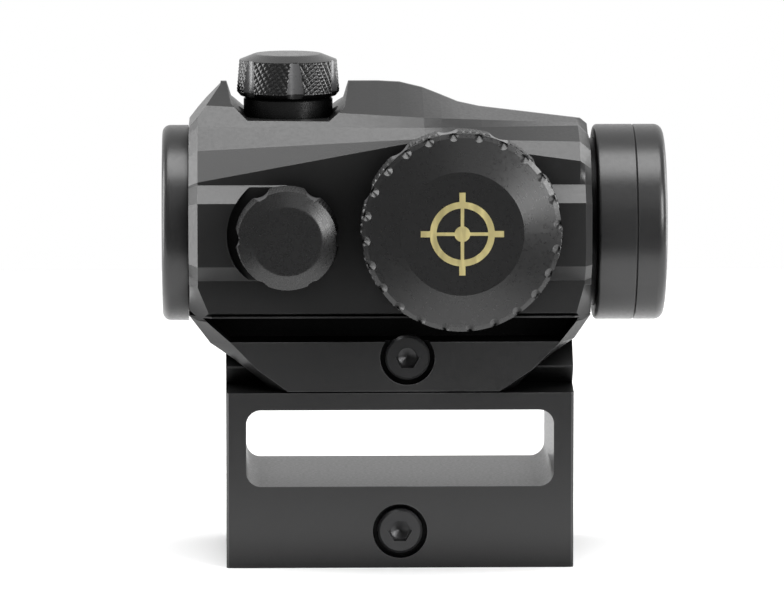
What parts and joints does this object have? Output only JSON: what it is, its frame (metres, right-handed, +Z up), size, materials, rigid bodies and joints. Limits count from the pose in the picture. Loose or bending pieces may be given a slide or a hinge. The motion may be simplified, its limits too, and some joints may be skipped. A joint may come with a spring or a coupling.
{
  "type": "red dot sight on riser mount",
  "caption": "Compact tube red dot sight with capped turrets and a side dial, clamped on a windowed riser for a dovetail rail.",
  "frame": {"origin": "centre of the riser's seat on the rail, in the rail's middle plane and halfway along the riser", "axes": "+X along the tube towards the objective, +Z up, -Y towards the side with the battery dial"},
  "size_m": [0.0619, 0.0401, 0.0623],
  "materials": {
    "black_anodised": "fine bead-blasted satin black anodised aluminium",
    "black_ring": "turned satin black anodised aluminium",
    "black_cap": "machined and knurled satin black anodised aluminium",
    "black_steel": "black oxide steel",
    "gold_inlay": "polished pale gold metal inlay",
    "bright_steel": "stainless steel",
    "brass_dial": "plain machined brass",
    "cell_steel": "nickel plated steel can",
    "matte_black_inside": "flat black anti-reflection paint",
    "rubber_seal": "black nitrile rubber",
    "window_glass": "coated optical glass, blue-green reflection",
    "lens_glass": "optical glass with a reddish reflective coating",
    "board": "green glass-fibre circuit board",
    "led_red": "clear red emitter moulding"
  },
  "bodies": {
    "mount_and_sight": {"riser_body": "black_anodised", "riser_recoil_key": "black_steel", "housing": "black_anodised", "sight_recoil_key": "black_steel", "eyepiece_ring": "black_ring", "objective_collar": "black_ring", "objective_ring": "black_ring", "rear_window": "window_glass", "front_window": "window_glass", "rear_window_seal": "rubber_seal", "front_window_seal": "rubber_seal", "bias_spring": "bright_steel", "battery_hub": "black_cap", "hub_screws": "bright_steel", "circuit_board": "board", "battery_contact": "brass_dial", "coin_cell": "cell_steel", "dial_detent_leaf": "bright_steel", "elevation_turret": "black_ring", "windage_turret": "black_ring"},
    "riser_bar": {"riser_clamp_bar": "black_anodised"},
    "riser_screw": {"riser_clamp_screw": "black_steel"},
    "sight_bar": {"sight_clamp_bar": "black_anodised"},
    "sight_screw": {"sight_clamp_screw": "black_steel"},
    "gimbal": {"gimbal_ring": "bright_steel", "gimbal_pivot_pins": "bright_steel"},
    "optics": {"optics_tube": "matte_black_inside", "tube_pivot_pins": "bright_steel", "collimating_lens": "lens_glass", "lens_retainer": "matte_black_inside", "emitter_housing": "matte_black_inside", "emitter_led": "led_red"},
    "dial": {"brightness_dial": "black_cap"},
    "battery_cap_seal_body": {"battery_cap_seal": "rubber_seal"},
    "battery_cap_body": {"battery_cap": "black_cap", "cap_emblem": "gold_inlay"},
    "elevation_cap_seal_body": {"elevation_cap_seal": "rubber_seal"},
    "elevation_cap_body": {"elevation_cap": "black_cap"},
    "elevation_adjuster_body": {"elevation_adjuster": "brass_dial"},
    "elevation_plunger_body": {"elevation_plunger": "bright_steel"},
    "windage_cap_seal_body": {"windage_cap_seal": "rubber_seal"},
    "windage_cap_body": {"windage_cap": "black_cap"},
    "windage_adjuster_body": {"windage_adjuster": "brass_dial"},
    "windage_plunger_body": {"windage_plunger": "bright_steel"}
  },
  "joints": [
    {"name": "riser_screw_turn", "type": "hinge", "parent": "mount_and_sight", "child": "riser_screw", "pos_m": [0, -0.0126, -0.00095], "axis": [0, -1, 0], "range_deg": [0, 1450]},
    {"name": "riser_bar_travel", "type": "slide", "parent": "mount_and_sight", "child": "riser_bar", "axis": [0, 1, 0], "range_m": [0, 0.002]},
    {"name": "sight_screw_turn", "type": "hinge", "parent": "mount_and_sight", "child": "sight_screw", "pos_m": [0.0009, -0.0126, 0.0205], "axis": [0, -1, 0], "range_deg": [0, 1450]},
    {"name": "sight_bar_travel", "type": "slide", "parent": "mount_and_sight", "child": "sight_bar", "axis": [0, 1, 0], "range_m": [0, 0.002]},
    {"name": "elevation_cap_travel", "type": "slide", "parent": "mount_and_sight", "child": "elevation_cap_seal_body", "axis": [0, 0, 1], "range_m": [0, 0.003]},
    {"name": "elevation_cap_turn", "type": "hinge", "parent": "elevation_cap_seal_body", "child": "elevation_cap_body", "pos_m": [-0.01355, 0, 0.0543], "axis": [0, 0, 1], "range_deg": [0, 2172]},
    {"name": "elevation_adjuster_turn", "type": "hinge", "parent": "mount_and_sight", "child": "elevation_adjuster_body", "pos_m": [-0.01355, 0, 0.0543], "axis": [0, 0, 1], "range_deg": [-362, 362]},
    {"name": "elevation_plunger_travel", "type": "slide", "parent": "mount_and_sight", "child": "elevation_plunger_body", "axis": [0, 0, 1], "range_m": [-0.00035, 0.00035]},
    {"name": "windage_cap_travel", "type": "slide", "parent": "mount_and_sight", "child": "windage_cap_seal_body", "axis": [0, -1, 0], "range_m": [0, 0.003]},
    {"name": "windage_cap_turn", "type": "hinge", "parent": "windage_cap_seal_body", "child": "windage_cap_body", "pos_m": [-0.0138, -0.0185, 0.0358], "axis": [0, -1, 0], "range_deg": [0, 2172]},
    {"name": "windage_adjuster_turn", "type": "hinge", "parent": "mount_and_sight", "child": "windage_adjuster_body", "pos_m": [-0.0138, -0.0185, 0.0358], "axis": [0, -1, 0], "range_deg": [-362, 362]},
    {"name": "windage_plunger_travel", "type": "slide", "parent": "mount_and_sight", "child": "windage_plunger_body", "axis": [0, -1, 0], "range_m": [-0.00035, 0.00035]},
    {"name": "windage_tilt", "type": "hinge", "parent": "mount_and_sight", "child": "gimbal", "pos_m": [0.0185, 0, 0.0358], "axis": [0, 0, 1], "range_deg": [-0.64, 0.64]},
    {"name": "elevation_tilt", "type": "hinge", "parent": "gimbal", "child": "optics", "pos_m": [0.0185, 0, 0.0358], "axis": [0, 1, 0], "range_deg": [-0.64, 0.64]},
    {"name": "brightness_dial_turn", "type": "hinge", "parent": "mount_and_sight", "child": "dial", "pos_m": [0.00715, -0.021, 0.0372], "axis": [0, -1, 0], "range_deg": [0, 330]},
    {"name": "battery_cap_travel", "type": "slide", "parent": "mount_and_sight", "child": "battery_cap_seal_body", "axis": [0, -1, 0], "range_m": [0, 0.0015]},
    {"name": "battery_cap_turn", "type": "hinge", "parent": "battery_cap_seal_body", "child": "battery_cap_body", "pos_m": [0.00715, -0.0235, 0.0372], "axis": [0, -1, 0], "range_deg": [0, 726]}
  ],
  "couplings": [
    {"joint": "riser_screw_turn", "follows": "riser_bar_travel", "rad_per_m": 12566},
    {"joint": "sight_screw_turn", "follows": "sight_bar_travel", "rad_per_m": 12566},
    {"joint": "elevation_cap_turn", "follows": "elevation_cap_travel", "rad_per_m": 12566},
    {"joint": "elevation_adjuster_turn", "follows": "elevation_plunger_travel", "rad_per_m": 17952},
    {"joint": "windage_cap_turn", "follows": "windage_cap_travel", "rad_per_m": 12566},
    {"joint": "windage_adjuster_turn", "follows": "windage_plunger_travel", "rad_per_m": 17952},
    {"joint": "elevation_tilt", "follows": "elevation_plunger_travel", "rad_per_m": 31.201},
    {"joint": "windage_tilt", "follows": "windage_plunger_travel", "rad_per_m": 30.96},
    {"joint": "battery_cap_turn", "follows": "battery_cap_travel", "rad_per_m": 8377.6}
  ]
}
